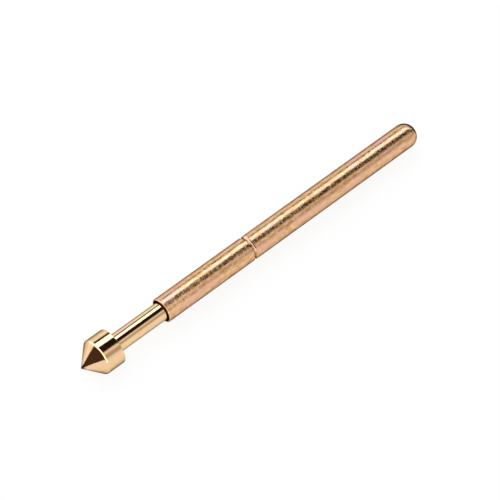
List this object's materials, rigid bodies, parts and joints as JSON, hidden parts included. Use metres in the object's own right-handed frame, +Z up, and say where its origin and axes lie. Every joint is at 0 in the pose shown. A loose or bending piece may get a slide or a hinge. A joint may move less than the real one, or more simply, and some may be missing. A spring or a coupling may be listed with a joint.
{
  "type": "pogo pin",
  "caption": "Spring-loaded contact probe: a cone-headed plunger that slides in a round gold-plated barrel with a closed, rounded tail.",
  "frame": {"origin": "on the barrel's axis, in the middle of its straight outside, between the edge of the mouth and the rounded tail", "axes": "+X along the axis from the contact tip to the closed tail; Y and Z across it, +Z up as the probe lies"},
  "size_m": [0.0228, 0.002, 0.002],
  "materials": {
    "barrel_gold": "satin rose-gold plating on drawn phosphor bronze",
    "plunger_gold": "bright gold plating on turned beryllium copper",
    "spring_steel": "bright drawn spring wire"
  },
  "bodies": {
    "barrel_body": {"barrel": "barrel_gold"},
    "spring_body": {"spring": "spring_steel"},
    "plunger_body": {"plunger": "plunger_gold"}
  },
  "joints": [
    {"name": "plunger_spin", "type": "hinge", "parent": "barrel_body", "child": "spring_body", "pos_m": [0, 0, 0], "axis": [1, 0, 0], "continuous": true},
    {"name": "plunger_travel", "type": "slide", "parent": "spring_body", "child": "plunger_body", "axis": [1, 0, 0], "range_m": [0, 0.0027], "stiffness_N_per_m": 330, "springref_m": -0.0014, "deforming": ["spring"]}
  ]
}
